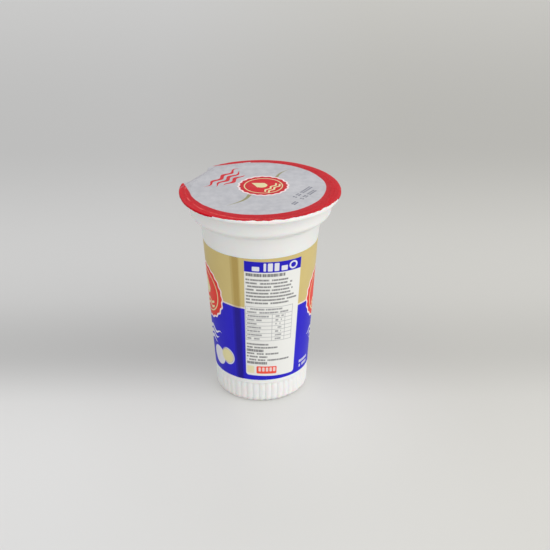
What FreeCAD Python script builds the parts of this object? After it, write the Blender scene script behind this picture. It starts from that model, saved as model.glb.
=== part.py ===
import FreeCAD, Part
import math
import os

# Drink cup with a sealed foil lid and a wrap-round label.
# Millimetres, +Z up, origin at the middle of the underside, front towards -Y.

# Overall
TOTAL_HEIGHT = 103.0
FLANGE_RADIUS = 37.6

# Foot
FOOT_RADIUS = 22.3
FOOT_EDGE_RADIUS = 3.0
RECESS_RADIUS = 16.0
RECESS_DEPTH = 1.5
RECESS_FILLET = 0.6
FLUTE_COUNT = 46
FLUTE_DEPTH = 0.5
FLUTE_TOP = 11.2
FLUTE_INSET = 0.1

# Smooth band between the flutes and the label
BAND_HEIGHT = 1.8
BAND_BEVEL = 1.0

# Label, a conical skin in a shallow seat, overlapping itself at a seam
LABEL_RADIUS_BOTTOM = 22.8
LABEL_THICKNESS = 0.35
LABEL_PROUD = 0.1
SEAM_START = -31.7
SEAM_END = -23.3
SEAM_STEP = 0.12

# Neck above the label
NECK_HEIGHT = 10.3
NECK_FLARE = 1.4
NECK_FILLET = 1.5

# Collar below the flange
COLLAR_HEIGHT = 9.8
COLLAR_OVERHANG = 4.7
COLLAR_UNDERCUT = 3.2
COLLAR_EDGE_RADIUS = 2.7

# Flange that the lid is sealed to
FLANGE_OVERHANG = 4.1
FLANGE_THICKNESS = 1.4
FLANGE_FILLET = 0.8
FLANGE_EDGE_RADIUS = 0.5

# Foil lid
FOIL_THICKNESS = 0.3
FOIL_SKIRT_DROP = 1.0
FOIL_SKIRT_GAP = 0.1
FOIL_EDGE_RADIUS = 0.25

# Pull tab, folded down over a notch in the flange at the back left
TAB_AZIMUTH = 149.7
TAB_GAP_TO_COLLAR = 0.3
TAB_HALF_WIDTH = 7.4
TAB_END_HALF_WIDTH = 5.6
TAB_LENGTH = 11.0
TAB_CORNER_RADIUS = 2.5
NOTCH_FLANK_RUN = 4.6
NOTCH_FLANK_RISE = 2.1

# Levels and radii that follow from the sizes above
SEAL = TOTAL_HEIGHT - FOIL_THICKNESS
FLANGE_BOTTOM = SEAL - FLANGE_THICKNESS
SKIRT_BOTTOM = TOTAL_HEIGHT - FOIL_SKIRT_DROP
COLLAR_BOTTOM = TOTAL_HEIGHT - COLLAR_HEIGHT
NECK_TOP = COLLAR_BOTTOM - COLLAR_UNDERCUT
LABEL_TOP = NECK_TOP - NECK_HEIGHT
LABEL_BOTTOM = FLUTE_TOP + BAND_HEIGHT
COLLAR_RADIUS = FLANGE_RADIUS - FLANGE_OVERHANG
NECK_RADIUS_TOP = COLLAR_RADIUS - COLLAR_OVERHANG
LABEL_RADIUS_TOP = NECK_RADIUS_TOP - NECK_FLARE
SEAT_RADIUS_BOTTOM = LABEL_RADIUS_BOTTOM - LABEL_THICKNESS
SEAT_RADIUS_TOP = LABEL_RADIUS_TOP - LABEL_THICKNESS
BAND_RADIUS = LABEL_RADIUS_BOTTOM - LABEL_PROUD
TAB_FACE = COLLAR_RADIUS + TAB_GAP_TO_COLLAR + FOIL_THICKNESS

ORIGIN = FreeCAD.Vector(0, 0, 0)
UP = FreeCAD.Vector(0, 0, 1)
TOLERANCE = 1e-4


def turned(outline, angle=360):
    """A solid turned about Z from (radius, height) corners, starting at +X."""
    points = [FreeCAD.Vector(r, 0, z) for r, z in outline]
    face = Part.Face(Part.makePolygon(points + points[:1]))
    return face.revolve(ORIGIN, UP, angle)


def prism(points, direction):
    """The polygon through the points, pushed along a direction."""
    return Part.Face(Part.makePolygon(points + points[:1])).extrude(direction)


def at_tab(shape):
    """The shape turned from +X to the side that the tab is on."""
    shape.rotate(ORIGIN, UP, TAB_AZIMUTH)
    return shape


def level_edges(shape, height):
    """The edges that lie wholly at one height."""
    return [
        edge for edge in shape.Edges
        if abs(edge.BoundBox.ZMin - height) < TOLERANCE
        and abs(edge.BoundBox.ZMax - height) < TOLERANCE
    ]


def fluted_wire(crest_radius, height):
    """A closed ring of convex arcs that meet in valleys one flute depth below the crests."""
    valley_radius = crest_radius - FLUTE_DEPTH
    step = 2 * math.pi / FLUTE_COUNT
    arcs = []
    for i in range(FLUTE_COUNT):
        corners = [
            FreeCAD.Vector(radius * math.cos(angle), radius * math.sin(angle), height)
            for radius, angle in (
                (valley_radius, i * step),
                (crest_radius, (i + 0.5) * step),
                (valley_radius, (i + 1) * step),
            )
        ]
        arcs.append(Part.Arc(*corners).toShape())
    return Part.Wire(arcs)


def make_foot():
    """The foot, its flutes running round the lower edge and up behind the band."""
    sections = []
    for degrees in range(0, 91, 18):
        angle = math.radians(degrees)
        radius = FOOT_RADIUS - FOOT_EDGE_RADIUS * (1 - math.sin(angle))
        sections.append((radius, FOOT_EDGE_RADIUS * (1 - math.cos(angle))))
    for share in (0.35, 0.7, 1.0):
        radius = FOOT_RADIUS + share * (BAND_RADIUS - FLUTE_INSET - FOOT_RADIUS)
        sections.append((radius, FOOT_EDGE_RADIUS + share * (FLUTE_TOP - FOOT_EDGE_RADIUS)))
    return Part.makeLoft([fluted_wire(radius, height) for radius, height in sections], True, False)


def make_recess():
    recess = Part.makeCylinder(RECESS_RADIUS, RECESS_DEPTH)
    return recess.makeFillet(RECESS_FILLET, level_edges(recess, RECESS_DEPTH))


def make_body():
    """The wall from the band up to the seal, its neck corner and collar edge rounded."""
    body = turned([
        (0, FLUTE_TOP - BAND_BEVEL),
        (BAND_RADIUS - BAND_BEVEL, FLUTE_TOP - BAND_BEVEL),
        (BAND_RADIUS, FLUTE_TOP),
        (BAND_RADIUS, LABEL_BOTTOM),
        (SEAT_RADIUS_BOTTOM, LABEL_BOTTOM),
        (SEAT_RADIUS_TOP, LABEL_TOP),
        (LABEL_RADIUS_TOP - LABEL_PROUD, LABEL_TOP),
        (NECK_RADIUS_TOP, NECK_TOP),
        (COLLAR_RADIUS, COLLAR_BOTTOM),
        (COLLAR_RADIUS, SEAL),
        (0, SEAL),
    ])
    body = body.makeFillet(NECK_FILLET, level_edges(body, NECK_TOP))
    return body.makeFillet(COLLAR_EDGE_RADIUS, level_edges(body, COLLAR_BOTTOM))


def notch(inset):
    """A tall prism that cuts the notch under the tab, its faces moved out by inset."""
    flank_angle = math.atan2(NOTCH_FLANK_RISE, NOTCH_FLANK_RUN)
    near = TAB_FACE - FOIL_THICKNESS - FOIL_SKIRT_GAP + inset
    half = TAB_HALF_WIDTH + FOIL_THICKNESS - inset * math.tan(flank_angle / 2)
    far = near + 2 * NOTCH_FLANK_RISE
    far_half = half + 2 * NOTCH_FLANK_RUN
    beyond = 2 * FLANGE_RADIUS
    outline = [(near, half), (far, far_half), (beyond, far_half)]
    outline += [(x, -y) for x, y in reversed(outline)]
    return at_tab(prism([FreeCAD.Vector(x, y, 0) for x, y in outline], UP * (TOTAL_HEIGHT + 1)))


def flange_plate(grow, bottom, top, edge_radius=0, edge_height=0):
    """The flange's plan shape between two heights, grown outwards all round, one rim rounded."""
    plate = Part.makeCylinder(FLANGE_RADIUS + grow, top - bottom, UP * bottom)
    if edge_radius:
        plate = plate.makeFillet(edge_radius, level_edges(plate, edge_height))
    return plate.cut(notch(grow))


def make_cup():
    flange = flange_plate(0, FLANGE_BOTTOM, SEAL, FLANGE_EDGE_RADIUS, FLANGE_BOTTOM)
    upper = make_body().fuse(flange).removeSplitter()
    corner = [
        edge for edge in level_edges(upper, FLANGE_BOTTOM)
        if abs(edge.BoundBox.XMax - COLLAR_RADIUS) < TOLERANCE
    ]
    upper = upper.makeFillet(FLANGE_FILLET, corner)
    return upper.fuse(make_foot()).cut(make_recess()).removeSplitter()


def make_label():
    skin = turned([
        (SEAT_RADIUS_BOTTOM, LABEL_BOTTOM),
        (LABEL_RADIUS_BOTTOM, LABEL_BOTTOM),
        (LABEL_RADIUS_TOP, LABEL_TOP),
        (SEAT_RADIUS_TOP, LABEL_TOP),
    ])
    seam = turned([
        (SEAT_RADIUS_BOTTOM, LABEL_BOTTOM),
        (LABEL_RADIUS_BOTTOM + SEAM_STEP, LABEL_BOTTOM),
        (LABEL_RADIUS_TOP + SEAM_STEP, LABEL_TOP),
        (SEAT_RADIUS_TOP, LABEL_TOP),
    ], SEAM_END - SEAM_START)
    seam.rotate(ORIGIN, UP, SEAM_START - 90)
    return skin.fuse(seam).removeSplitter()


def make_tab():
    """The tab hanging down flat, just clear of the collar."""
    end = TOTAL_HEIGHT - TAB_LENGTH
    outline = [
        (-TAB_HALF_WIDTH, SKIRT_BOTTOM),
        (TAB_HALF_WIDTH, SKIRT_BOTTOM),
        (TAB_END_HALF_WIDTH, end),
        (-TAB_END_HALF_WIDTH, end),
    ]
    points = [FreeCAD.Vector(TAB_FACE, y, z) for y, z in outline]
    tab = prism(points, FreeCAD.Vector(-FOIL_THICKNESS, 0, 0))
    corners = [edge for edge in level_edges(tab, end) if edge.Length < 2 * FOIL_THICKNESS]
    return at_tab(tab.makeFillet(TAB_CORNER_RADIUS, corners))


def make_foil_lid():
    grow = FOIL_SKIRT_GAP + FOIL_THICKNESS
    outer = flange_plate(grow, SKIRT_BOTTOM, TOTAL_HEIGHT, FOIL_EDGE_RADIUS, TOTAL_HEIGHT)
    inner = flange_plate(FOIL_SKIRT_GAP, SKIRT_BOTTOM - 1, SEAL)
    return outer.cut(inner).fuse(make_tab()).removeSplitter()


PARTS = {
    "cup": make_cup,
    "label": make_label,
    "foil_lid": make_foil_lid,
}

os.makedirs("parts", exist_ok=True)
for name, make in PARTS.items():
    make().exportStep(os.path.join("parts", name + ".step"))
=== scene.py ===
import math

import bmesh
import bpy
from mathutils import Matrix, Vector, noise


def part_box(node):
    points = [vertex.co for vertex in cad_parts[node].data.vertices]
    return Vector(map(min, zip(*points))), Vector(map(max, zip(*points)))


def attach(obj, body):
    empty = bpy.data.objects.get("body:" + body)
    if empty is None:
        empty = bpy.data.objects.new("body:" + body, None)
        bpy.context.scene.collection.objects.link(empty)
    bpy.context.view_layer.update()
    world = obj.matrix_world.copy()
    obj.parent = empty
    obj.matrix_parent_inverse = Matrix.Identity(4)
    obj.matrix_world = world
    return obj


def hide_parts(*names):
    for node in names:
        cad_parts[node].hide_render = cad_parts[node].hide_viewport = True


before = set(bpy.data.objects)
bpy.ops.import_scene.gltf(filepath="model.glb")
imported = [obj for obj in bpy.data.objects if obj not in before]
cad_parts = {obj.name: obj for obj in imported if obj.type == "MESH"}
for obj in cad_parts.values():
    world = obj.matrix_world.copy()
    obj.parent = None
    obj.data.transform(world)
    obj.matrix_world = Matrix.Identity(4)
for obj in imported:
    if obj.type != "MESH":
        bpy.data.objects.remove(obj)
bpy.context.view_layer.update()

# Drink cup with a sealed foil lid and a wrap-round printed label.
# Meshes are in metres. Printed shapes are worked out in millimetres, and in degrees round
# the cup, from 0 at the front towards +90 on the right.

MM = 0.001


# ---- Sizes taken from the frame ----

def node_points(node):
    return [vertex.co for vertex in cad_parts[node].data.vertices]


def widest(node, height):
    """The largest radius of a node's points within a tenth of a millimetre of a height."""
    return max(
        math.hypot(point.x, point.y)
        for point in node_points(node)
        if abs(point.z - height) < 0.1 * MM
    )


CUP_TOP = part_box("cup")[1].z

SEAM_RISE = 0.12 * MM  # how far the doubled film stands out
LABEL_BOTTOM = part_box("label")[0].z
LABEL_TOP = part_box("label")[1].z
LABEL_RADIUS_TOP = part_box("label")[1].x
LABEL_RADIUS_BOTTOM = widest("label", LABEL_BOTTOM) - SEAM_RISE

LID_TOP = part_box("foil_lid")[1].z
LID_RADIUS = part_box("foil_lid")[1].x
TAB_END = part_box("foil_lid")[0].z
TAB_TIP = 0.5 * MM  # height of the piece of the tab that its place is taken from
TAB_POINTS = [point for point in node_points("foil_lid") if point.z < TAB_END + TAB_TIP]
TAB_MIDDLE = sum(TAB_POINTS, Vector()) / len(TAB_POINTS)
TAB_AZIMUTH = math.atan2(TAB_MIDDLE.y, TAB_MIDDLE.x)
TAB_COS = math.cos(TAB_AZIMUTH)
TAB_SIN = math.sin(TAB_AZIMUTH)
TAB_FACE = max(point.x * TAB_COS + point.y * TAB_SIN for point in TAB_POINTS)


# ---- Colours, written as they look on a screen ----

def shade(red, green, blue):
    """A colour for a shader socket from the usual 0 to 255 values."""
    def linear(value):
        value = value / 255
        return value / 12.92 if value <= 0.04045 else ((value + 0.055) / 1.055) ** 2.4
    return (linear(red), linear(green), linear(blue), 1.0)


PLASTIC = shade(236, 236, 234)
PLASTIC_SHADED = shade(230, 230, 228)
SCUFF = shade(206, 205, 200)
GOLD = shade(211, 192, 131)
GOLD_DEEP = shade(201, 180, 117)
BLUE = shade(50, 42, 207)
BLUE_DEEP = shade(38, 30, 184)
HAIRLINE = shade(236, 226, 222)
PANEL = shade(231, 231, 227)
INK = shade(82, 82, 86)
INK_SOFT = shade(126, 127, 130)
INK_PALE = shade(162, 163, 165)
STAMP_RED = shade(236, 84, 66)
CREAM = shade(228, 219, 168)
DISC_WHITE = shade(224, 224, 232)
BADGE_RED = shade(232, 66, 54)
BADGE_RED_DEEP = shade(206, 46, 46)
BADGE_RIM = shade(244, 224, 226)
LID_SILVER = shade(200, 200, 204)
LID_SILVER_DEEP = shade(177, 178, 184)
LID_RED = shade(208, 10, 30)
LID_RED_DEEP = shade(178, 6, 26)
LID_RED_HIGHLIGHT = shade(236, 112, 104)
FOLD_SHADE = shade(158, 146, 158)
OVERLAP = shade(222, 211, 186)
OLIVE = shade(150, 146, 104)
CODE_GREY = shade(112, 114, 128)
BARE_FOIL = shade(188, 188, 192)
BARE_FOIL_DEEP = shade(170, 170, 176)


# ---- Fields: numbers that vary over a surface, added up in a material's nodes ----

class Field:
    """A shader socket that can be used in sums, which become nodes in its material."""

    def __init__(self, tree, socket):
        self.tree = tree
        self.socket = socket

    def calculate(self, operation, *others, clamp=False):
        """The result of a Math node with this field as its first value."""
        node = add_node(self.tree, "Math", {"operation": operation, "use_clamp": clamp})
        for slot, value in zip(node.inputs, (self, *others)):
            feed(self.tree, slot, value)
        return Field(self.tree, node.outputs[0])

    def __add__(self, other):
        return self.calculate("ADD", other)

    __radd__ = __add__

    def __sub__(self, other):
        return self.calculate("SUBTRACT", other)

    def __rsub__(self, other):
        return self.calculate("MULTIPLY_ADD", -1.0, other)

    def __mul__(self, other):
        return self.calculate("MULTIPLY", other)

    def __truediv__(self, other):
        return self.calculate("DIVIDE", other)

    def __neg__(self):
        return self.calculate("MULTIPLY", -1.0)

    def __abs__(self):
        return self.calculate("ABSOLUTE")


def feed(tree, slot, value):
    """Gives a node's slot a field, a socket or a plain value."""
    if isinstance(value, Field):
        tree.links.new(value.socket, slot)
    elif isinstance(value, bpy.types.NodeSocket):
        tree.links.new(value, slot)
    else:
        slot.default_value = value


def add_node(tree, kind, settings=None, **inputs):
    """A shader node with its settings made and some of its slots fed."""
    node = tree.nodes.new("ShaderNode" + kind)
    for name, value in (settings or {}).items():
        setattr(node, name, value)
    for name, value in inputs.items():
        feed(tree, node.inputs[name], value)
    return node


def both(a, b):
    """Where two shapes overlap, and for masks where both are set."""
    return a.calculate("MAXIMUM", b)


def either(a, b):
    """The union of two shapes."""
    return a.calculate("MINIMUM", b)


def length(a, b):
    """The distance that two steps at a right angle make together."""
    return (a * a + b * b).calculate("SQRT")


def sine(a):
    return a.calculate("SINE")


def cover(distance, softness=0.16):
    """1 inside a shape and 0 outside it, from the signed distance to its edge."""
    return distance.calculate("MULTIPLY_ADD", -1.0 / softness, 0.5, clamp=True)


def rise(value, start, end):
    """0 up to start and 1 from end on."""
    span = end - start
    return value.calculate("MULTIPLY_ADD", 1.0 / span, -start / span, clamp=True)


def box_shape(x, y, left, right, bottom, top, corner=0.0):
    """Signed distance to an upright rectangle, its corners rounded."""
    across = abs(x - (left + right) / 2) - ((right - left) / 2 - corner)
    along = abs(y - (bottom + top) / 2) - ((top - bottom) / 2 - corner)
    if not corner:
        return both(across, along)
    outside = length(both(across, 0.0), both(along, 0.0))
    return outside + either(both(across, along), 0.0) - corner


def disc_shape(x, y, radius):
    """Signed distance to a disc."""
    return length(x, y) - radius


def mix_colours(tree, factor, under, over, blend="MIX"):
    settings = {"data_type": "RGBA", "blend_type": blend}
    return add_node(tree, "Mix", settings, Factor=factor, A=under, B=over).outputs["Result"]


def mix_shaders(tree, factor, under, over):
    node = add_node(tree, "MixShader", Fac=factor)
    tree.links.new(under, node.inputs[1])
    tree.links.new(over, node.inputs[2])
    return node.outputs[0]


class Paint:
    """A material under construction: its coordinates, its layers of colour and its finish."""

    def __init__(self, name):
        self.material = bpy.data.materials.new(name)
        self.material.use_nodes = True
        self.tree = self.material.node_tree
        self.shader = self.tree.nodes["Principled BSDF"]
        self.place = add_node(self.tree, "TexCoord").outputs["Object"]
        parts = add_node(self.tree, "SeparateXYZ", Vector=self.place)
        self.x, self.y, self.z = (Field(self.tree, out) * (1 / MM) for out in parts.outputs)
        self.colour = None

    def mottle(self, scale, detail=2.0, roughness=0.5):
        """Smooth noise from 0 to 1, scale giving about the blotches to a metre."""
        shape = {"Scale": scale, "Detail": detail, "Roughness": roughness}
        node = add_node(self.tree, "TexNoise", Vector=self.place, **shape)
        return Field(self.tree, node.outputs["Fac"])

    def wander(self, along, detail=0.0):
        """Smooth noise from 0 to 1 that varies along one field, about once a unit."""
        settings = {"noise_dimensions": "1D"}
        node = add_node(self.tree, "TexNoise", settings, W=along, Scale=1.0, Detail=detail)
        return Field(self.tree, node.outputs["Fac"])

    def random(self, number):
        """A number from 0 to 1 that is the same all over one whole number."""
        node = add_node(self.tree, "TexWhiteNoise", {"noise_dimensions": "1D"}, W=number)
        return Field(self.tree, node.outputs["Value"])

    def start(self, colour, other, share):
        """The ground colour, mottled with another."""
        self.colour = mix_colours(self.tree, share, colour, other)

    def layer(self, colour, mask):
        """Prints a colour over what is there."""
        self.colour = mix_colours(self.tree, mask, self.colour, colour)

    def darken(self, mask, colour):
        """Multiplies what is there by a colour where the mask is set."""
        self.colour = mix_colours(self.tree, mask, self.colour, colour, "MULTIPLY")

    def finish(self, roughness, relief, depth, **fixed):
        """Links the colour, roughness and relief, depth in millimetres, and sets even values."""
        self.tree.links.new(self.colour, self.shader.inputs["Base Color"])
        feed(self.tree, self.shader.inputs["Roughness"], roughness)
        bump = add_node(self.tree, "Bump", Distance=depth * MM, Strength=1.0, Height=relief)
        self.tree.links.new(bump.outputs[0], self.shader.inputs["Normal"])
        for name, value in fixed.items():
            self.shader.inputs[name.replace("_", " ")].default_value = value
        return self.material


# ---- Printed motifs shared by the label and the lid ----

BADGE_LOBES = 20
BADGE_OUTLINE = 0.9  # mm that the pale rim stands out

# Shares of the badge's radius
BADGE_LOBE_DEPTH = 0.022
BADGE_RING = 0.8
BADGE_RING_HALF = 0.022
DROP_RADIUS = 0.25
DROP_HEIGHT = 0.1
DROP_FLANK = (0.86, 0.51)  # the direction that the drop's flank faces
BADGE_WAVES = (-0.36, -0.54)
BADGE_WAVE_REACH = 0.52
BADGE_WAVE_PERIOD = 0.42
BADGE_WAVE_HALF = 0.045

WAVE_ROWS = 3
WAVE_SWING = 0.9  # mm to each side


def print_badge(paint, x, y, radius, motif, red, red_deep):
    """A round scalloped badge: pale rim, red field, thin ring, a drop above two waves."""
    out = length(x, y)
    angle = y.calculate("ARCTAN2", x)
    scallop = (angle * BADGE_LOBES).calculate("COSINE") * (radius * BADGE_LOBE_DEPTH)
    edge = out - scallop - radius
    paint.layer(BADGE_RIM, cover(edge - BADGE_OUTLINE))
    paint.layer(red, cover(edge))
    paint.layer(red_deep, rise(out, 0.45 * radius, radius) * cover(edge) * 0.35)
    paint.layer(motif, cover(abs(out - BADGE_RING * radius) - BADGE_RING_HALF * radius))

    drop_radius = DROP_RADIUS * radius
    above = y - DROP_HEIGHT * radius
    bowl = disc_shape(x, above, drop_radius)
    flank = abs(x) * DROP_FLANK[0] + above * DROP_FLANK[1] - drop_radius
    paint.layer(motif, cover(either(bowl, both(flank, -above))))

    inside = abs(x) - BADGE_WAVE_REACH * radius
    half = BADGE_WAVE_HALF * radius
    for level in BADGE_WAVES:
        swell = sine(x * (2 * math.pi / (BADGE_WAVE_PERIOD * radius))) * half
        wave = abs(y - level * radius - swell) - half
        paint.layer(motif, cover(both(wave, inside)))


def print_waves(paint, x, y, colour, pitch, half_width, thickness, period):
    """Rows of tapering waves, each shorter than the one above, centred on x."""
    for row in range(WAVE_ROWS):
        reach = half_width * (1 - 0.22 * row)
        taper = 1 - (x / reach) * (x / reach)
        swell = sine(x * (2 * math.pi / period)) * WAVE_SWING
        level = (WAVE_ROWS - 1) * pitch / 2 - row * pitch
        wave = abs(y - level - swell) - both(taper, 0.0) * (thickness / 2)
        paint.layer(colour, cover(both(wave, abs(x) - reach), 0.2))


# ---- Label print ----

PRINT_TILT = 1.2  # mm that the print climbs from the middle to the side
PRINT_SKEW = 0.039  # degrees that upright edges lean for each mm down
BLUE_TOP = 52.3
HAIRLINE_HEIGHT = 0.8
MEAN_RADIUS = (LABEL_RADIUS_TOP + LABEL_RADIUS_BOTTOM) / 2 / MM
MM_PER_DEGREE = math.radians(MEAN_RADIUS)

PANEL_BOTTOM = 15.5
PANEL_TOP = 78.1
HEADER_HEIGHT = 5.5
PANEL_CORNER = 1.5
TEXT_PITCH = 1.76
TEXT_SIZE = 0.9

HEADER_BARS = (  # left, right and height, as shares of the header
    (0.13, 0.25, 0.42),
    (0.32, 0.36, 0.76),
    (0.39, 0.47, 0.76),
    (0.50, 0.58, 0.76),
    (0.62, 0.73, 0.46),
)
HEADER_FOOT = 0.7  # mm below the bars
HEADER_BAR_CORNER = 0.35
HEADER_RING = 0.84  # share of the width
HEADER_RING_RADIUS = 1.7
HEADER_RING_HALF = 0.4

SEAM_START = -31.7
SEAM_END = -23.3

FRONT_PANEL = 13.8  # middle of the panel that faces the camera, degrees
FRONT_PANEL_HALF = 30.2  # half its width, degrees
BACK_PANEL = 185.0
BACK_PANEL_HALF = 27.0
FACES = (-77.5, 90.0)  # middles of the two display faces

BADGE_RADIUS = 13.4
BADGE_HEIGHT = 53.3
WAVES_HEIGHT = 30.4
WHITE_DISC = (17.5, 20.3, 5.0)  # degrees from the face's middle, height, radius
CREAM_DISC = (33.5, 22.6, 4.5)


def label_coordinates(paint):
    """Degrees round the cup and the height on the print, which is tilted and skewed."""
    turn = paint.x.calculate("ARCTAN2", -paint.y)
    height = paint.z + sine(turn) * PRINT_TILT
    skewed = turn * (180 / math.pi) + (LABEL_TOP / MM - paint.z) * PRINT_SKEW
    return turn * (180 / math.pi), skewed, height


def across_from(angle, middle):
    """Millimetres round the cup from a middle given in degrees."""
    return (angle - middle).calculate("WRAP", 180.0, -180.0) * MM_PER_DEGREE


def dashes(paint, x, row, size, seed):
    """Short strokes in groups that read as small print, different on each row."""
    stroke = size * 0.42
    start = row * 97.3 + seed * 31.7
    words = paint.wander(x / (size * 2.6) + start)
    letters = paint.wander(x / (stroke * 1.5) + start, 1.0)
    upright = (x / stroke).calculate("FRACT")
    strokes = rise(abs(upright - 0.5), 0.1, 0.22) * rise(letters, 0.34, 0.46)
    return rise(words, 0.24, 0.28) * (strokes * 0.5 + 0.42)


def print_rows(
    paint, x, height, columns, top, rows, seed,
    pitch=TEXT_PITCH, size=TEXT_SIZE, ink=INK, bold=(), blank=(),
):
    """Rows of small print in columns of (left, right, share by which a row may fall short)."""
    down = (top - height) / pitch
    row = down.calculate("FLOOR")
    thickness = size / 2
    for number in bold:
        thickness = thickness + cover(abs(row - number) - 0.5, 0.1) * (0.3 * size)
    for number in blank:
        thickness = thickness - cover(abs(row - number) - 0.5, 0.1) * (2 * size)
    ragged = paint.random(row + seed)
    shape = None
    for left, right, uneven in columns:
        reach = ragged * (-uneven * (right - left)) + right
        column = both(left - x, x - reach)
        shape = column if shape is None else either(shape, column)
    line = abs(down - row - 0.5) * pitch - thickness
    block = abs(height - (top - rows * pitch / 2)) - rows * pitch / 2
    mask = cover(both(both(shape, line), block))
    paint.layer(ink, mask * dashes(paint, x, row, size, seed))


def print_panel(paint, x, height, half):
    """The white panel and its blue header with plain bars and a ring."""
    left = -half
    panel = box_shape(x, height, left, half, PANEL_BOTTOM, PANEL_TOP, PANEL_CORNER)
    square_top = box_shape(x, height, left, half, (PANEL_BOTTOM + PANEL_TOP) / 2, PANEL_TOP)
    paint.layer(PANEL, cover(either(panel, square_top), 0.25))
    bottom = PANEL_TOP - HEADER_HEIGHT
    paint.layer(BLUE_DEEP, cover(box_shape(x, height, left, half, bottom, PANEL_TOP + 0.1), 0.25))
    foot = bottom + HEADER_FOOT
    for start, end, tall in HEADER_BARS:
        bar = box_shape(
            x, height,
            left + start * 2 * half, left + end * 2 * half,
            foot, foot + tall * HEADER_HEIGHT, HEADER_BAR_CORNER,
        )
        paint.layer(DISC_WHITE, cover(bar, 0.25))
    ring = disc_shape(
        x - (left + HEADER_RING * 2 * half),
        height - (bottom + HEADER_HEIGHT / 2),
        HEADER_RING_RADIUS,
    )
    paint.layer(DISC_WHITE, cover(abs(ring) - HEADER_RING_HALF, 0.25))


TABLE_TOP = 54.0
TABLE_BOTTOM = 35.5
TABLE_ROWS = 7
TABLE_HEAD = 4.0
TABLE_COLUMNS = (0.55, 0.83)  # shares of the width
RULE = 0.22  # thickness of a table's lines

STAMP_HEIGHT = 4.2
STAMP_WIDTH = 10.6
PATCH_WIDTH = 3.8
STAMP_GAP = 1.1  # between the patch and the stamp
STAMP_BARS = (0.16, 0.34, 0.52, 0.70, 0.88)
STAMP_BAR_HALF = 0.62


def print_table(paint, x, height, left, right):
    """Ruled rows and columns, with small print on the left and short figures on the right."""
    width = right - left
    pitch = (TABLE_TOP - TABLE_HEAD - TABLE_BOTTOM) / TABLE_ROWS
    table = box_shape(x, height, left, right, TABLE_BOTTOM, TABLE_TOP)
    head_bottom = TABLE_TOP - TABLE_HEAD
    lines = abs(table) - RULE / 2
    below_head = both(height - head_bottom - RULE, table)
    down = (head_bottom - height) / pitch
    rules = abs(down - down.calculate("ROUND")) * pitch - RULE / 2
    lines = either(lines, both(rules, below_head))
    for share in TABLE_COLUMNS:
        column = abs(x - (left + share * width)) - RULE / 2
        lines = either(lines, both(column, below_head))
    paint.layer(INK_PALE, cover(lines, 0.14))
    head = ((left + 0.6, left + 0.9 * width, 0.2),)
    print_rows(
        paint, x, height, head,
        top=TABLE_TOP - 0.3, rows=2, pitch=1.75, size=0.95, seed=3, ink=INK_SOFT,
    )
    body = (
        (left + 0.6, left + 0.48 * width, 0.6),
        (left + 0.62 * width, left + 0.8 * width, 0.4),
    )
    print_rows(
        paint, x, height, body,
        top=head_bottom, rows=TABLE_ROWS, pitch=pitch, size=TEXT_SIZE, seed=4, ink=INK_SOFT,
    )


def print_stamp(paint, x, height, left):
    """A cream patch beside a red block with pale bars."""
    bottom = PANEL_BOTTOM + 1.2
    top = bottom + STAMP_HEIGHT
    end = left + PATCH_WIDTH
    paint.layer(CREAM, cover(box_shape(x, height, left, end, bottom, top, 0.5), 0.5) * 0.8)
    start = end + STAMP_GAP
    end = start + STAMP_WIDTH
    paint.layer(STAMP_RED, cover(box_shape(x, height, start, end, bottom, top, 0.7), 0.25))
    for share in STAMP_BARS:
        middle = start + share * STAMP_WIDTH
        sides = (middle - STAMP_BAR_HALF, middle + STAMP_BAR_HALF)
        bar = box_shape(x, height, *sides, bottom + 1.3, top - 0.6, 0.4)
        paint.layer(HAIRLINE, cover(bar, 0.3) * 0.8)


def print_front_panel(paint, skewed, height):
    """A heading, small print, a table, more small print and the stamp."""
    half = FRONT_PANEL_HALF * MM_PER_DEGREE
    x = across_from(skewed, FRONT_PANEL)
    left = -half + 0.6
    right = half - 0.8
    print_panel(paint, x, height, half)
    heading = ((left, left + 0.72 * (right - left), 0.1),)
    print_rows(paint, x, height, heading, top=72.1, rows=1, pitch=1.9, size=1.6, seed=1)
    full = ((left, right, 0.25),)
    print_rows(paint, x, height, full, top=69.4, rows=8, seed=6)
    print_table(paint, x, height, left - 0.2, left + 0.9 * (right - left))
    part = ((left, right - 2.6, 0.65),)
    print_rows(paint, x, height, part, top=34.2, rows=7, seed=13, bold=(2, 6))
    print_stamp(paint, x, height, left)


def print_back_panel(paint, skewed, height):
    """The unseen back carries a plainer panel of the same make."""
    half = BACK_PANEL_HALF * MM_PER_DEGREE
    x = across_from(skewed, BACK_PANEL)
    left = -half + 0.8
    right = half - 0.8
    print_panel(paint, x, height, half)
    full = ((left, right, 0.5),)
    print_rows(
        paint, x, height, full,
        top=71.6, rows=27, seed=32, bold=(0, 8, 21), blank=(1, 7, 13, 20),
    )
    print_stamp(paint, x, height, left + 2.0)


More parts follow.
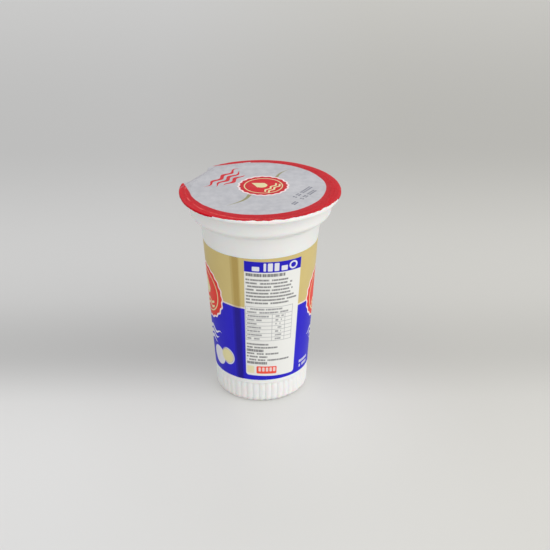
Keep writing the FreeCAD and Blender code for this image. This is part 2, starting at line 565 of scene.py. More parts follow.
def print_face(paint, angle, height, middle):
    """One display face: a badge over the edge of the blue, with waves, discs and dashes below."""
    x = across_from(angle, middle)
    up = height - BADGE_HEIGHT
    print_badge(paint, x, up, BADGE_RADIUS, CREAM, BADGE_RED, BADGE_RED_DEEP)
    print_waves(
        paint, x, height - WAVES_HEIGHT, DISC_WHITE,
        pitch=2.9, half_width=11.5, thickness=1.9, period=8.2,
    )
    white_x, cream_x = (x - disc[0] * MM_PER_DEGREE for disc in (WHITE_DISC, CREAM_DISC))
    white_disc = disc_shape(white_x, height - WHITE_DISC[1], WHITE_DISC[2])
    cream_disc = disc_shape(cream_x, height - CREAM_DISC[1], CREAM_DISC[2])
    paint.layer(DISC_WHITE, cover(white_disc, 0.4))
    paint.layer(CREAM, cover(cream_disc + 0.5, 1.0))
    rim = abs(cream_disc + 0.25) - 0.3
    paint.layer(DISC_WHITE, cover(rim, 0.35) * rise(cream_x, -2.5, 0.5))
    print_rows(
        paint, x, height, ((-17.0, -8.5, 0.2),),
        top=20.6, rows=2, pitch=2.5, size=1.5, seed=40, ink=DISC_WHITE,
    )


def darken_overlap(paint, angle):
    """The film is darker where it is doubled, most of all along its middle."""
    starts = rise(angle, SEAM_START - 0.4, SEAM_START + 0.4)
    deepens = rise(angle, SEAM_START + 1.2, SEAM_START + 3.4) * 0.5 + 0.5
    ends = 1 - rise(angle, SEAM_END - 0.6, SEAM_END + 2.2)
    paint.darken(starts * deepens * ends, OVERLAP)


def label_paint():
    """The whole label: gold above blue, two display faces, two panels and the overlap."""
    paint = Paint("label_print")
    angle, skewed, height = label_coordinates(paint)
    cloudy = paint.mottle(60.0, 3.0)
    paint.start(GOLD, GOLD_DEEP, cloudy)
    blue_edge = height - BLUE_TOP
    paint.layer(HAIRLINE, cover(blue_edge - HAIRLINE_HEIGHT, 0.3) * 0.8)
    blue = mix_colours(paint.tree, cloudy, BLUE, BLUE_DEEP)
    paint.layer(blue, cover(blue_edge, 0.3))
    for middle in FACES:
        print_face(paint, angle, height, middle)
    print_back_panel(paint, skewed, height)
    print_front_panel(paint, skewed, height)
    darken_overlap(paint, angle)

    grain = paint.mottle(2600.0)
    creases = paint.mottle(90.0)
    return paint.finish(
        roughness=grain * 0.08 + cloudy * 0.1 + 0.3,
        relief=grain * 0.25 + creases,
        depth=0.05,
        Specular_IOR_Level=0.1,
    )


# ---- Lid print ----

BORDER_X = -1.0  # middle of the round silver area, mm
BORDER_Y = 2.1
BORDER_RADIUS = 32.0
TAB_ZONE = 21.3  # the red ends in straight lines beyond this distance towards the tab
ZONE_FRONT = ((-29.3, -14.0), (-36.7, 10.4))
ZONE_BACK = ((-25.4, 29.0), (-12.0, 32.8))

PRINT_TURN = math.radians(57)
LID_BADGE_X = 1.6
LID_BADGE_Y = 4.2
LID_BADGE_RADIUS = 11.2
SPRIGS = ((1, 13.5), (-1, 18.0))  # side of the badge and length
LID_WAVES_ALONG = 3.0
LID_WAVES_ACROSS = 20.0
DOT_PITCH = 1.25
DOT_RADIUS = 0.4  # share of the pitch
DOT_BANDS = ((-3.75, 16.25, -20.0, -17.5), (-7.5, 12.5, -23.75, -21.25))
SEALED_FROM = 32.6  # the knurled ring where the foil is sealed
SEALED_TO = 36.2


def outside_line(paint, start, end):
    """Distance beyond the line from start to end, positive on its left."""
    run_x, run_y = end[0] - start[0], end[1] - start[1]
    size = math.hypot(run_x, run_y)
    return (paint.x - start[0]) * (-run_y / size) + (paint.y - start[1]) * (run_x / size)


def towards_tab(paint):
    return paint.x * TAB_COS + paint.y * TAB_SIN


def red_border(paint, wander):
    """The red edge of the lid, which tapers off to both sides of the tab."""
    outside = length(paint.x - BORDER_X, paint.y - BORDER_Y) - BORDER_RADIUS - wander
    front_line = outside_line(paint, *ZONE_FRONT)
    back_line = -outside_line(paint, *ZONE_BACK[::-1])
    open_zone = rise(towards_tab(paint), TAB_ZONE - 0.1, TAB_ZONE + 0.1)
    silver_zone = open_zone * cover(both(front_line, back_line), 0.3)
    return cover(-outside, 0.3) * (1 - silver_zone)


def artwork_place(x, y):
    """Millimetres along and across the turned artwork."""
    along = x * math.cos(PRINT_TURN) + y * math.sin(PRINT_TURN)
    across = y * math.cos(PRINT_TURN) - x * math.sin(PRINT_TURN)
    return along, across


def print_sprig(paint, along, across, side, span):
    """A thin olive stalk that leaves the badge in a bend and tapers to its end."""
    reach = along * side - LID_BADGE_RADIUS
    bend = across - sine(reach * 0.22) * (1.6 * side)
    taper = (span - reach) * 0.06
    stalk = both(abs(bend) - taper, both(-reach, reach - span))
    paint.layer(OLIVE, cover(stalk, 0.3))


def print_dots(paint, along, across):
    """Two bands of small grey dots, two to a column, some columns left out."""
    column = along / DOT_PITCH
    row = across / DOT_PITCH
    dot = length(column - column.calculate("FLOOR") - 0.5, row - row.calculate("FLOOR") - 0.5)
    here = paint.random(column.calculate("FLOOR"))
    upper, lower = (box_shape(along, across, *band) for band in DOT_BANDS)
    block = cover(either(upper, lower), 0.1)
    paint.layer(CODE_GREY, cover(dot - DOT_RADIUS, 0.2) * rise(here, 0.25, 0.27) * block)


def paint_fold_shade(paint, wander):
    """A thin line of painted shade along the fold that the tab hangs from."""
    fold = abs(towards_tab(paint) - (TAB_FACE / MM - 0.7) - wander * 0.4) - 0.14
    paint.layer(FOLD_SHADE, cover(fold, 0.3) * 0.75)


def lid_paint():
    """Printed foil: silver with the artwork, a red edge, and knurling where it is sealed."""
    paint = Paint("lid_print")
    cloudy = paint.mottle(45.0, 3.0)
    streaks = paint.mottle(300.0)
    paint.start(LID_SILVER, LID_SILVER_DEEP, rise(cloudy * 0.4 + streaks * 0.6, 0.3, 0.75))

    along, across = artwork_place(paint.x, paint.y)
    badge_along, badge_across = artwork_place(LID_BADGE_X, LID_BADGE_Y)
    badge_x = along - badge_along
    badge_y = across - badge_across
    for side, span in SPRIGS:
        print_sprig(paint, badge_x, badge_y, side, span)
    print_badge(paint, badge_x, badge_y, LID_BADGE_RADIUS, CREAM, LID_RED, LID_RED_DEEP)
    print_waves(
        paint, along - LID_WAVES_ALONG, across - LID_WAVES_ACROSS, LID_RED,
        pitch=3.5, half_width=14.5, thickness=2.0, period=9.0,
    )
    print_dots(paint, along, across)

    out = length(paint.x, paint.y)
    wander = paint.mottle(110.0, 3.0) - 0.5
    border = red_border(paint, wander)
    red = mix_colours(paint.tree, cloudy, LID_RED, LID_RED_DEEP)
    paint.layer(red, border)
    paint.layer(LID_RED_DEEP, border * cover(out - BORDER_RADIUS - wander - 1.2, 1.6) * 0.6)
    # Painted highlight: a lighter red line along the crease, on the left front only
    crease_highlight = cover(abs(out + wander - CREASE_RADIUS / MM) - 0.28, 0.4) * rise(streaks, 0.42, 0.6)
    left_front = rise(-(paint.x + paint.y), 12.0, 34.0)
    paint.layer(LID_RED_HIGHLIGHT, border * crease_highlight * left_front * 0.8)
    paint_fold_shade(paint, wander)

    slack = paint.mottle(70.0, 1.0)
    crinkle = paint.mottle(420.0, 4.0, 0.6)
    knurl = sine((paint.x + paint.y) * 5.2) * sine((paint.x - paint.y) * 5.2)
    sealed = rise(out, SEALED_FROM - 0.8, SEALED_FROM) * (1 - rise(out, SEALED_TO, SEALED_TO + 0.6))
    feed(paint.tree, paint.shader.inputs["Metallic"], border * -0.35 + 0.5)
    return paint.finish(
        roughness=crinkle * 0.12 + cloudy * 0.1 + 0.22,
        relief=crinkle * 0.5 + slack * 2.4 + knurl * (sealed * 0.25 + 0.05),
        depth=0.25,
        Specular_IOR_Level=0.08,
    )


def bare_foil_paint():
    """The unprinted underside and cut edges of the lid."""
    paint = Paint("foil_bare")
    brushed = paint.mottle(700.0, 3.0, 0.6)
    paint.start(BARE_FOIL, BARE_FOIL_DEEP, brushed)
    return paint.finish(
        roughness=brushed * 0.15 + 0.3,
        relief=brushed,
        depth=0.04,
        Metallic=0.8,
    )


# ---- Cup plastic ----

def cup_paint():
    """Milky white plastic, a little uneven, with faint scuffs low down."""
    paint = Paint("cup_plastic")
    cloudy = paint.mottle(35.0)
    paint.start(PLASTIC, PLASTIC_SHADED, cloudy * 0.6)
    scuffs = paint.mottle(900.0, 5.0, 0.75)
    low = 1 - rise(paint.z, 0.5, 9.0)
    paint.layer(SCUFF, rise(scuffs, 0.62, 0.74) * low * 0.5)
    wavy = paint.mottle(120.0, 1.0)
    peel = paint.mottle(1500.0)
    return paint.finish(
        roughness=peel * 0.08 + cloudy * 0.08 + scuffs * low * 0.12 + 0.26,
        relief=wavy + peel * 0.06,
        depth=0.12,
        IOR=1.48,
        Subsurface_Weight=0.3,
        Subsurface_Scale=2 * MM,
    )


# ---- Meshes ----

def add_object(name, data):
    item = bpy.data.objects.new(name, data)
    bpy.context.scene.collection.objects.link(item)
    return item


class Shell:
    """A thin shell under construction, with a place on its map for each patch."""

    def __init__(self):
        self.mesh = bmesh.new()
        self.map = self.mesh.loops.layers.uv.new("OFBake")

    def line(self, points):
        return [self.mesh.verts.new(point) for point in points]

    def quad(self, corners, places, slot=0):
        """A face with a place on the map for each corner."""
        face = self.mesh.faces.new(corners)
        face.material_index = slot
        for loop, place in zip(face.loops, places):
            loop[self.map].uv = place

    def patch(self, rows, left, bottom, right, top):
        """Faces over a grid of vertices, spread over a rectangle of the map."""
        across = (right - left) / (len(rows[0]) - 1)
        up = (top - bottom) / (len(rows) - 1)
        for i in range(len(rows) - 1):
            for j in range(len(rows[0]) - 1):
                steps = ((i, j), (i, j + 1), (i + 1, j + 1), (i + 1, j))
                places = [(left + across * b, bottom + up * a) for a, b in steps]
                self.quad([rows[a][b] for a, b in steps], places)

    def build(self, name, *materials):
        """Turns the faces outwards and puts the mesh into the scene."""
        mesh = bpy.data.meshes.new(name)
        bmesh.ops.recalc_face_normals(self.mesh, faces=self.mesh.faces)
        self.mesh.to_mesh(mesh)
        self.mesh.free()
        for material in materials:
            mesh.materials.append(material)
        mesh.shade_smooth()
        mesh.set_sharp_from_angle(angle=math.radians(50))
        return add_object(name, mesh)


# Label: one film that goes round the cup and a little further, made in three lengths

FILM_THICKNESS = 0.2 * MM
FILM_SINK = 0.04 * MM
FILM_RIPPLE = 0.02 * MM
SEAM_CLIMB = 2.0  # degrees over which the film's end climbs on to its start
LABEL_INSET = 0.03 * MM
LABEL_STEP = 1.0  # degrees
LABEL_ROWS = 68
LABEL_CUTS = (SEAM_START, 88.0, 208.0, SEAM_END + 360)

# Rectangles of a label length's map: left, bottom, right, top
OUTER_PLACE = (0.0, 0.05, 1.0, 1.0)
INNER_PLACE = (0.0, 0.0, 1.0, 0.02)
BOTTOM_PLACE = (0.0, 0.022, 1.0, 0.028)
TOP_PLACE = (0.0, 0.03, 1.0, 0.036)
LEFT_PLACE = (0.0, 0.038, 0.45, 0.044)
RIGHT_PLACE = (0.5, 0.038, 1.0, 0.044)


def add_piece(piece, node):
    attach(piece, "root")
    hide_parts(node)


def label_radius(height):
    share = (height - LABEL_BOTTOM) / (LABEL_TOP - LABEL_BOTTOM)
    return LABEL_RADIUS_BOTTOM + share * (LABEL_RADIUS_TOP - LABEL_RADIUS_BOTTOM) - FILM_SINK


def seam_lift(angle):
    """How far the film's end stands on its start."""
    share = (angle - (SEAM_START + 360 - SEAM_CLIMB)) / SEAM_CLIMB
    share = min(max(share, 0.0), 1.0)
    return SEAM_RISE * share * share * (3 - 2 * share)


def film_depth(angle):
    """The film's thickness, less where it lies on its start."""
    return FILM_THICKNESS if seam_lift(angle) == 0 else SEAM_RISE * 0.9


def film_point(angle, height, depth):
    """A point of the rippled film, at a depth inside its outer face."""
    ripple = noise.noise(Vector((angle * 0.09, height * 60, 3.0))) * FILM_RIPPLE
    radius = label_radius(height) + seam_lift(angle) + ripple - depth
    turn = math.radians(angle)
    return Vector((radius * math.sin(turn), -radius * math.cos(turn), height))


def make_label_length(name, start, end, material):
    """One length of the film, from an angle to an angle, closed on all sides."""
    shell = Shell()
    columns = round((end - start) / LABEL_STEP) + 1
    angles = [start + (end - start) * i / (columns - 1) for i in range(columns)]
    bottom = LABEL_BOTTOM + LABEL_INSET
    top = LABEL_TOP - LABEL_INSET
    heights = [bottom + (top - bottom) * i / (LABEL_ROWS - 1) for i in range(LABEL_ROWS)]
    outer = [shell.line(film_point(a, h, 0.0) for a in angles) for h in heights]
    inner = [shell.line(film_point(a, h, film_depth(a)) for a in angles) for h in heights]
    shell.patch(outer, *OUTER_PLACE)
    shell.patch([row[::-1] for row in inner], *INNER_PLACE)
    shell.patch([inner[0], outer[0]], *BOTTOM_PLACE)
    shell.patch([outer[-1], inner[-1]], *TOP_PLACE)
    left_edge = [[row[0] for row in outer][::-1], [row[0] for row in inner][::-1]]
    right_edge = [[row[-1] for row in outer], [row[-1] for row in inner]]
    shell.patch(left_edge, *LEFT_PLACE)
    shell.patch(right_edge, *RIGHT_PLACE)
    add_piece(shell.build(name, material), "label")


def make_label():
    material = label_paint()
    names = ("label_front", "label_back", "label_left")
    for name, start, end in zip(names, LABEL_CUTS, LABEL_CUTS[1:]):
        make_label_length(name, start, end, material)


# Foil lid: a disc of foil, its edge turned down over the flange and its tab folded down

FOIL = 0.1 * MM
LID_CELLS = 160  # cells across the disc
TAB_OUT = Vector((TAB_COS, TAB_SIN, 0.0))
TAB_ACROSS = Vector((-TAB_SIN, TAB_COS, 0.0))
TAB_HALF_WIDTH = 7.4 * MM
TAB_END_HALF_WIDTH = 5.6 * MM
TAB_CORNER = 2.5 * MM
NOTCH_HALF = 7.7 * MM
NOTCH_RUN = 4.6
NOTCH_RISE = 2.1
SKIRT_DROP = 0.55 * MM
TAB_ROWS = 26
SKIRT_ROWS = 3
BEND_ROWS = 4
SHORT_AZIMUTH = -72.0  # where the foil falls short of the flange, degrees from +X
SHORT_SPREAD = 62.0
SHORT_BY = 1.75 * MM
NICKS = (  # azimuth, mm deep, degrees wide
    (-79.0, 0.9, 2.4),
    (-95.0, 0.8, 2.2),
    (-66.0, 0.5, 1.6),
    (-38.0, 0.45, 1.8),
    (-28.0, 0.35, 1.4),
    (-167.0, 0.2, 9.0),
)
CREASE_RADIUS = 34.9 * MM
EDGE_CLEARANCE = 0.03 * MM
BEND_RADIUS = 0.35 * MM
BEND_TIGHTER = 0.2 * MM  # how much less the bend is where the foil is short


def turn_between(azimuth, middle):
    """Degrees from the middle, from -180 to 180."""
    return (azimuth - middle + 180) % 360 - 180


def shortfall(azimuth):
    """0 where the foil reaches over the flange, 1 where it is shortest."""
    share = abs(turn_between(azimuth, SHORT_AZIMUTH)) / SHORT_SPREAD
    return max(0.0, math.cos(min(share, 1.0) * math.pi / 2)) ** 1.3


def foil_reach(azimuth):
    """Distance from the axis to the foil's outline, without the notch."""
    short = shortfall(azimuth)
    turn = math.radians(azimuth)
    around = Vector((math.cos(turn), math.sin(turn), 0.0))
    ragged = noise.noise(around * 14.0) * 0.42 + noise.noise(around * 33.0) * 0.26
    reach = LID_RADIUS - EDGE_CLEARANCE - short * SHORT_BY
    reach += (min(ragged * (0.2 + 1.1 * short), 0.45) - 0.1 * (1 - short)) * MM
    for middle, depth, width in NICKS:
        reach -= depth * MM * math.exp(-(turn_between(azimuth, middle) / width) ** 2)
    return min(reach, LID_RADIUS - EDGE_CLEARANCE)


def notch_reach(azimuth):
    """Distance from the axis to the fold line and the notch's flanks, or None beside them."""
    offset = math.radians(turn_between(azimuth, math.degrees(TAB_AZIMUTH)))
    if abs(offset) > math.radians(40):
        return None
    slope = abs(math.tan(offset))
    if TAB_FACE * slope <= NOTCH_HALF:
        return TAB_FACE / math.cos(offset)
    steps = (TAB_FACE * slope - NOTCH_HALF) / (NOTCH_RUN - NOTCH_RISE * slope)
    return (TAB_FACE + NOTCH_RISE * steps) / math.cos(offset)


def outline_point(azimuth):
    """The foil's outline in plan, with the notch."""
    reach = foil_reach(azimuth)
    notch = notch_reach(azimuth)
    if notch is not None:
        reach = min(reach, notch)
    turn = math.radians(azimuth)
    return Vector((reach * math.cos(turn), reach * math.sin(turn), 0.0))


def lid_height(x, y):
    """Height of the foil's upper face, slack over the cup's mouth and pressed on the flange."""
    out = math.hypot(x, y)
    place = Vector((x, y, 0.0)) * 1000
    slack = noise.noise(place * 0.085 + Vector((5.0, 2.0, 1.0)))
    slack += 0.5 * noise.noise(place * 0.21)
    mouth = 1 - min(max((out / MM - 30.0) / 2.2, 0.0), 1.0)
    crease = math.exp(-((out - CREASE_RADIUS) / (0.45 * MM)) ** 2)
    fine = noise.noise(place * 0.55) * 0.35
    shape = 0.5 + 0.42 * slack * mouth + 0.3 * crease * (1 + fine) + 0.12 * fine
    shape = min(max(shape, 0.0), 1.0)
    floor = CUP_TOP + FOIL + 0.02 * MM
    return floor + shape * (LID_TOP - floor)


def disc_place(a, b):
    """Radius share and azimuth of a point on a square grid wrapped on to a disc."""
    if a == 0 and b == 0:
        return 0.0, 0.0
    if abs(a) > abs(b):
        share, turn = a, math.pi / 4 * b / a
    else:
        share, turn = b, math.pi / 2 - math.pi / 4 * a / b
    if share < 0:
        share, turn = -share, turn + math.pi
    return share, math.degrees(turn)


def ring_indices(cells):
    """The indices along the square grid's edge, once round."""
    steps = range(cells)
    ring = [(0, i) for i in steps] + [(i, cells) for i in steps]
    return ring + [(cells, cells - i) for i in steps] + [(cells - i, 0) for i in steps]


class RimColumn:
    """One line down the lid's turned edge: where it starts, which way it faces and its length."""

    def __init__(self, azimuth):
        before = outline_point(azimuth - 0.3)
        after = outline_point(azimuth + 0.3)
        run = (after - before).normalized()
        self.out = Vector((run.y, -run.x, 0.0))
        self.edge = outline_point(azimuth)
        self.azimuth = azimuth
        self.across = self.edge.dot(TAB_ACROSS)
        on_fold = abs(self.edge.dot(TAB_OUT) - TAB_FACE) < 0.02 * MM
        self.on_tab = on_fold and abs(self.across) <= TAB_HALF_WIDTH
        self.short = min(shortfall(azimuth) * 2.5, 1.0)
        self.bend = BEND_RADIUS - BEND_TIGHTER * self.short
        if self.on_tab:
            self.out = TAB_OUT
            self.bend = BEND_RADIUS

    def drop(self):
        """How far the foil hangs below its bend."""
        if not self.on_tab:
            wave = noise.noise(Vector((self.azimuth * 0.11, 4.0, 0.0)))
            wave += 0.5 * noise.noise(Vector((self.azimuth * 0.4, 9.0, 0.0)))
            full = SKIRT_DROP + wave * 0.25 * MM
            return max(full * (1 - self.short), 0.02 * MM)
        length = LID_TOP - TAB_END - self.bend
        inset = TAB_END_HALF_WIDTH - TAB_CORNER
        beyond = abs(self.across) * TAB_END_HALF_WIDTH / TAB_HALF_WIDTH - inset
        if beyond > 0:
            length -= TAB_CORNER - math.sqrt(max(TAB_CORNER ** 2 - beyond ** 2, 0.0))
        return length

    def levels(self):
        """The depths of the rows below the bend."""
        rows = TAB_ROWS if self.on_tab else SKIRT_ROWS
        return [self.drop() * (i + 1) / rows for i in range(rows)]

    def line(self, top, thickness_in):
        """Points from the lid's edge round the bend and down, at a depth inside the foil."""
        start = self.edge - self.out * self.bend
        radius = self.bend - thickness_in
        points = []
        for i in range(1, BEND_ROWS + 1):
            turn = math.pi / 2 * i / BEND_ROWS
            point = start + self.out * (radius * math.sin(turn))
            point.z = top - self.bend + radius * math.cos(turn)
            points.append(point)
        for depth in self.levels():
            point = points[BEND_ROWS - 1].copy()
            point.z = top - self.bend - depth
            if self.on_tab:
                share = depth / (LID_TOP - TAB_END)
                narrow = 1 - TAB_END_HALF_WIDTH / TAB_HALF_WIDTH
                point -= TAB_ACROSS * (self.across * narrow * share)
                spread = (self.across / TAB_HALF_WIDTH) ** 2
                spring = 0.35 * share * share - 0.2 * spread * min(share * 4, 1.0)
                point += self.out * (spring * MM)
            points.append(point)
        return points


# Places on the lid's map: its upper face, and strips and patches for the turned edge
MAP_CENTRE = (0.5, 0.545)
MAP_RADIUS = 0.448  # the lid's radius on its map
STRIP_BASE = {"outer": 0.03, "inner": 0.01}
STRIP_HEIGHT = 0.018
CUT_BASE = 0.002
CUT_HEIGHT = 0.006
TAB_PLACE = {"outer": (0.9, 0.9), "inner": (0.9, 0.1)}
TAB_SPREAD = 0.095
TAB_SIDE = (0.02, 0.1)
TAB_SIDE_WIDTH = 0.004
TAB_SIDE_STEP = 0.003


def plan_place(vertex):
    scale = MAP_RADIUS / LID_RADIUS
    return (MAP_CENTRE[0] + vertex.co.x * scale, MAP_CENTRE[1] + vertex.co.y * scale)


def strip_place(base, height, around, down):
    """A place on the narrow strips at the bottom of the map."""
    return (0.01 + 0.98 * around, base + height * down)


def rim_place(side, column, around, row):
    """The place of a row of a rim column, outside or inside, around running from 0 to 1."""
    if column.on_tab and row > BEND_ROWS:
        across = 0.5 + 0.5 * column.across / TAB_HALF_WIDTH
        down = (row - BEND_ROWS) / TAB_ROWS
        left, bottom = TAB_PLACE[side]
        return (left + TAB_SPREAD * across, bottom + TAB_SPREAD * down)
    last = BEND_ROWS + SKIRT_ROWS
    return strip_place(STRIP_BASE[side], STRIP_HEIGHT, around, min(row, last) / last)


def make_lid_disc(shell):
    """The flat upper face; returns its grid of vertices, and the azimuth of each by its index."""
    grid = []
    azimuths = {}
    for i in range(LID_CELLS + 1):
        row = []
        for j in range(LID_CELLS + 1):
            share, azimuth = disc_place(2 * i / LID_CELLS - 1, 2 * j / LID_CELLS - 1)
            azimuths[(i, j)] = azimuth
            reach = share * (outline_point(azimuth).length - BEND_RADIUS)
            turn = math.radians(azimuth)
            x, y = reach * math.cos(turn), reach * math.sin(turn)
            row.append(shell.mesh.verts.new((x, y, lid_height(x, y))))
        grid.append(row)
    for i in range(LID_CELLS):
        for j in range(LID_CELLS):
            corners = [grid[i][j], grid[i + 1][j], grid[i + 1][j + 1], grid[i][j + 1]]
            shell.quad(corners, [plan_place(corner) for corner in corners])
    return grid, azimuths


def close_tab_side(shell, outer, inner):
    """Closes one cut side of the tab or skirt below the bend, between its two lines."""
    left, start = TAB_SIDE
    right = left + TAB_SIDE_WIDTH
    for row in range(BEND_ROWS, len(inner)):
        corners = [outer[row], outer[row + 1], inner[row], inner[row - 1]]
        low = start + TAB_SIDE_STEP * row
        high = low + TAB_SIDE_STEP
        shell.quad(corners, [(left, low), (left, high), (right, high), (right, low)], 1)


def make_rim_step(shell, columns, outer, inner, k):
    """The faces from one rim column to the next: outside, inside and along the cut edge."""
    n = (k + 1) % len(columns)
    at_tab_side = columns[k].on_tab != columns[n].on_tab
    shared = BEND_ROWS if at_tab_side else min(len(inner[k]), len(inner[n]))
    arounds = (k / len(columns), (k + 1) / len(columns))
    for side, lines, last, slot in (("outer", outer, shared, 0), ("inner", inner, shared - 1, 1)):
        for row in range(last):
            corners = [lines[k][row], lines[n][row], lines[n][row + 1], lines[k][row + 1]]
            steps = ((k, 0, row), (n, 1, row), (n, 1, row + 1), (k, 0, row + 1))
            places = [rim_place(side, columns[c], arounds[a], r) for c, a, r in steps]
            shell.quad(corners, places, slot)
    edge = [outer[k][shared], outer[n][shared], inner[n][shared - 1], inner[k][shared - 1]]
    steps = ((0, 0), (1, 0), (1, 1), (0, 1))
    shell.quad(edge, [strip_place(CUT_BASE, CUT_HEIGHT, arounds[a], b) for a, b in steps], 1)
    if at_tab_side:
        close_tab_side(shell, outer[k], inner[k])
        close_tab_side(shell, outer[n], inner[n])


def make_lid():
    """The foil as one closed shell, printed outside and bare inside."""
    shell = Shell()
    grid, azimuths = make_lid_disc(shell)
    ring = ring_indices(LID_CELLS)[::-1]
    columns = [RimColumn(azimuths[step]) for step in ring]
    outer, inner = [], []
    for column, (i, j) in zip(columns, ring):
        top = grid[i][j]
        outer.append([top] + shell.line(column.line(top.co.z, 0.0)))
        inner.append(shell.line(column.line(top.co.z, FOIL)))
    for k in range(len(ring)):
        make_rim_step(shell, columns, outer, inner, k)
    shell.mesh.faces.new([line[0] for line in inner]).material_index = 1
    piece = shell.build("lid_foil", lid_paint(), bare_foil_paint())
    add_piece(piece, "foil_lid")


# ---- Stage, lights and camera ----

FLOOR_RADIUS = 6.0
CAMERA_AT = Vector((0.0, -0.5454, 0.3278))
CAMERA_TARGET = Vector((0.00684, 0.0, 0.05816))
CAMERA_ROLL = math.radians(-0.21)
CAMERA_LENS = 82.58
CAMERA_SENSOR = 36.0

# Painted light and shade on the floor by its distance behind the cup, in metres, at the left and
# right
FLOOR_LIGHT_AND_SHADE = (
    (-0.12, 212, 208),
    (-0.02, 219, 206),
    # The dark band here is the cup's painted shadow
    (0.025, 164, 178),
    (0.09, 200, 200),
    (0.20, 198, 195),
    (0.34, 173, 164),
    (0.75, 198, 195),
)
FLOOR_BACK = 1.0  # the span that the brightness stops are spread over
FLOOR_FRONT = -0.25
# The left is painted cooler and the right warmer, as the light falls on them
FLOOR_LEFT = (-90.0, 1, 0.4)  # mm across, column of the table above, warmth
FLOOR_RIGHT = (110.0, 2, 2.3)
FLOOR_OWN_LIGHT = 0.4
FLOOR_FADES = 1000.0  # mm from the cup where the floor begins to take the backdrop's colour
FLOOR_FADED = 2600.0
FLOOR_POOL = shade(240, 239, 236)


def brightness_ramp(paint, along, column, warm):
    """The floor's colour along it, with its painted light and shade, from one column of the table.
    """
    ramp = add_node(paint.tree, "ValToRGB", Fac=along)
    ramp.color_ramp.interpolation = "B_SPLINE"
    stops = ramp.color_ramp.elements
    for number, row in enumerate(FLOOR_LIGHT_AND_SHADE):
        position = (row[0] - FLOOR_FRONT) / (FLOOR_BACK - FLOOR_FRONT)
        stop = stops[number] if number < 2 else stops.new(position)
        stop.position = position
        value = row[column]
        stop.color = shade(value, value - 0.5 * warm, value - 2.5 * warm)
    return ramp.outputs[0]


def seen_as_background(tree):
    """1 for what the camera sees directly, in a reflection or through glass, 0 for other light."""
    path = add_node(tree, "LightPath")
    camera, glossy, glass = (
        Field(tree, path.outputs[name])
        for name in ("Is Camera Ray", "Is Glossy Ray", "Is Transmission Ray")
    )
    return both(camera, both(glossy, glass))


def show_background(paint):
    """Shows the floor's own colour in part, so that its shadows stay pale."""
    tree = paint.tree
    own = add_node(tree, "Emission", Color=paint.colour)
    share = seen_as_background(tree) * FLOOR_OWN_LIGHT
    shown = mix_shaders(tree, share, paint.shader.outputs[0], own.outputs[0])
    tree.links.new(shown, tree.nodes["Material Output"].inputs["Surface"])


def floor_paint():
    """A pale sweep with painted bands of light and shadow, and a soft pool of light in front of the
    cup.
    """
    paint = Paint("studio_floor")
    along = (paint.y * MM - FLOOR_FRONT) / (FLOOR_BACK - FLOOR_FRONT)
    left = brightness_ramp(paint, along, *FLOOR_LEFT[1:])
    right = brightness_ramp(paint, along, *FLOOR_RIGHT[1:])
    paint.start(left, right, rise(paint.x, FLOOR_LEFT[0], FLOOR_RIGHT[0]))
    pool = 1 - rise(length(paint.x - 10.0, paint.y + 25.0), 20.0, 95.0)
    paint.layer(FLOOR_POOL, pool * pool * 0.3)
    paint.layer(BACKDROP, rise(length(paint.x, paint.y), FLOOR_FADES, FLOOR_FADED))
    haze = paint.mottle(8.0)
    paint.finish(roughness=haze * 0.1 + 0.3, relief=haze, depth=0.01, IOR=1.4)
    show_background(paint)
    return paint.material


def make_floor():
    disc = bmesh.new()
    bmesh.ops.create_circle(disc, cap_ends=True, segments=128, radius=FLOOR_RADIUS)
    mesh = bpy.data.meshes.new("floor")
    disc.to_mesh(mesh)
    disc.free()
    mesh.materials.append(floor_paint())
    floor = add_object("floor", mesh)


def add_area_light(name, at, size, power, colour):
    light = bpy.data.lights.new(name, "AREA")
    light.shape = "DISK"
    light.size = size
    light.energy = power
    light.color = colour
    lamp = add_object(name, light)
    lamp.location = at
    beam = Vector(LIGHT_TARGET) - Vector(at)
    lamp.rotation_euler = beam.to_track_quat("-Z", "Y").to_euler()


WORLD_STRENGTH = 0.79
WORLD_FROM_RIGHT = 0.04
WORLD_FROM_ABOVE = 0.2
BACKDROP = shade(203, 202, 200)
BACKDROP_ABOVE = shade(252, 252, 254)
BACKDROP_LEAN = 0.15  # how much higher the backdrop's gradient starts on the right
WORLD_WINDOW = 0.6
LIGHT_TARGET = (0.0, 0.0, 0.05)
KEY_AT = (1.05, -0.75, 0.95)
KEY_SIZE = 1.7
KEY_POWER = 6.8
KEY_COLOUR = (1.0, 0.99, 0.97)
WHITE = (1.0, 1.0, 1.0)
BACK_LIGHT_AT = (0.5, 1.1, 1.0)
BACK_LIGHT_SIZE = 1.0
BACK_LIGHT_POWER = 1.1


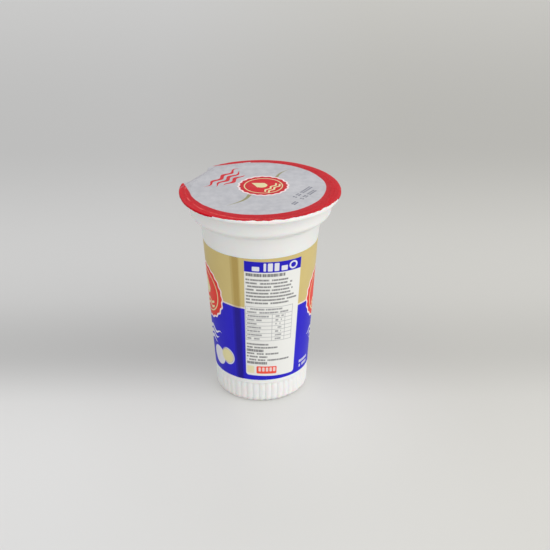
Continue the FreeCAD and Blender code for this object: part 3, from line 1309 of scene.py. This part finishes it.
def make_world():
    """Soft light from all round, stronger from above and from the side that the key is on."""
    world = bpy.data.worlds.new("studio")
    world.use_nodes = True
    tree = world.node_tree
    parts = add_node(tree, "SeparateXYZ", Vector=add_node(tree, "TexCoord").outputs["Generated"])
    across, back, up = (Field(tree, out) for out in parts.outputs)
    background = tree.nodes["Background"]
    background.inputs["Color"].default_value = (*WHITE, 1.0)
    even = across * WORLD_FROM_RIGHT + up * WORLD_FROM_ABOVE
    even = even + (WORLD_STRENGTH - WORLD_FROM_ABOVE / 2)
    towards_key = Vector(KEY_AT).normalized()
    facing = across * towards_key.x + back * towards_key.y + up * towards_key.z
    window = both(facing, 0.0)
    feed(tree, background.inputs["Strength"], even + window * window * WORLD_WINDOW)

    height = rise(up - across * BACKDROP_LEAN, 0.05, 1.0)
    tint = mix_colours(tree, height, BACKDROP, BACKDROP_ABOVE)
    backdrop = add_node(tree, "Background", Color=tint)
    share = seen_as_background(tree)
    shown = mix_shaders(tree, share, background.outputs[0], backdrop.outputs[0])
    tree.links.new(shown, tree.nodes["World Output"].inputs["Surface"])
    bpy.context.scene.world = world


def make_lights():
    make_world()
    add_area_light("key", KEY_AT, KEY_SIZE, KEY_POWER, KEY_COLOUR)
    add_area_light("back", BACK_LIGHT_AT, BACK_LIGHT_SIZE, BACK_LIGHT_POWER, WHITE)


def make_camera():
    camera = bpy.data.cameras.new("camera")
    camera.lens = CAMERA_LENS
    camera.sensor_width = CAMERA_SENSOR
    camera.clip_start = 0.01
    eye = add_object("camera", camera)
    aim = (CAMERA_TARGET - CAMERA_AT).to_track_quat("-Z", "Y").to_matrix()
    turn = aim @ Matrix.Rotation(CAMERA_ROLL, 3, "Z")
    eye.matrix_world = Matrix.Translation(CAMERA_AT) @ turn.to_4x4()
    bpy.context.scene.camera = eye


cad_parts["cup"].material_slots[0].material = cup_paint()
make_label()
make_lid()
make_floor()
make_lights()
make_camera()
bpy.context.scene.view_settings.view_transform = "Standard"

bpy.context.view_layer.update()
